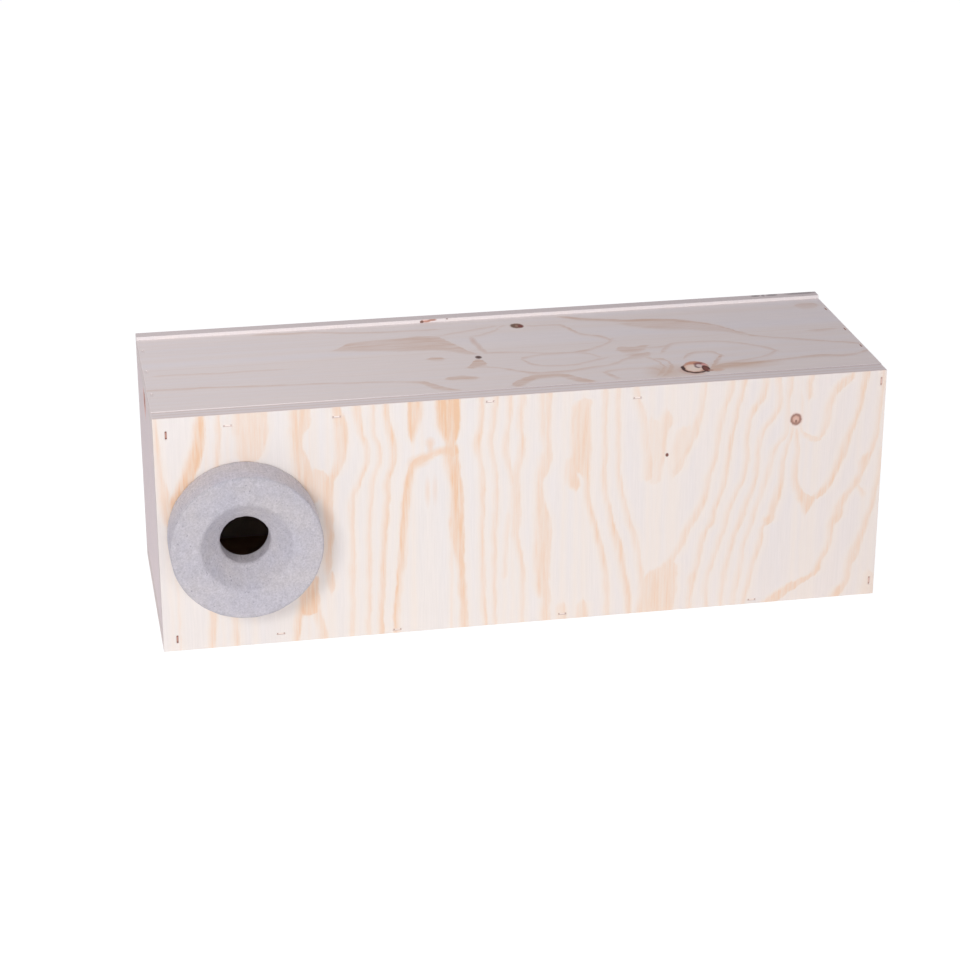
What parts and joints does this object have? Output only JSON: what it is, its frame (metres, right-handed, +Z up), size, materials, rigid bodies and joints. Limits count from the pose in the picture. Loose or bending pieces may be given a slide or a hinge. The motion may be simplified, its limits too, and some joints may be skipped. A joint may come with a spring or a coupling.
{
  "type": "sparrow nest box",
  "caption": "Long, low plywood nest box with a round entrance through a thick wood-concrete ring near the left end of its front, and a screwed back panel that comes off for cleaning.",
  "frame": {"origin": "middle of the footprint of the whole part, ring included, on the surface it stands on", "axes": "+X along the box, away from the entrance end; the entrance looks towards -Y; +Z up"},
  "size_m": [0.5, 0.192, 0.1713],
  "materials": {
    "front_board": "sanded softwood veneer, unfinished",
    "deck_board": "sanded softwood veneer, unfinished",
    "end_board": "sanded softwood veneer, unfinished",
    "back_board": "sanded softwood veneer, unfinished",
    "wood_concrete": "cast, matt, fine pits",
    "screw_steel": "zinc plated",
    "staple_wire": "resin coated wire"
  },
  "bodies": {
    "shell": {"front_panel": "front_board", "top_panel": "deck_board", "bottom_panel": "deck_board", "left_end_panel": "end_board", "right_end_panel": "end_board", "entrance_ring": "wood_concrete", "ring_screws": "screw_steel", "front_staples_top": "staple_wire", "front_staples_bottom": "staple_wire", "front_staples_left": "staple_wire", "front_staples_right": "staple_wire", "top_staples_left": "staple_wire", "top_staples_right": "staple_wire", "bottom_staples_left": "staple_wire", "bottom_staples_right": "staple_wire"},
    "back": {"back_panel": "back_board", "back_screws": "screw_steel"}
  },
  "joints": [
    {"name": "back_panel_draw", "type": "slide", "parent": "shell", "child": "back", "axis": [0, 1, 0], "range_m": [0, 0.12]}
  ]
}
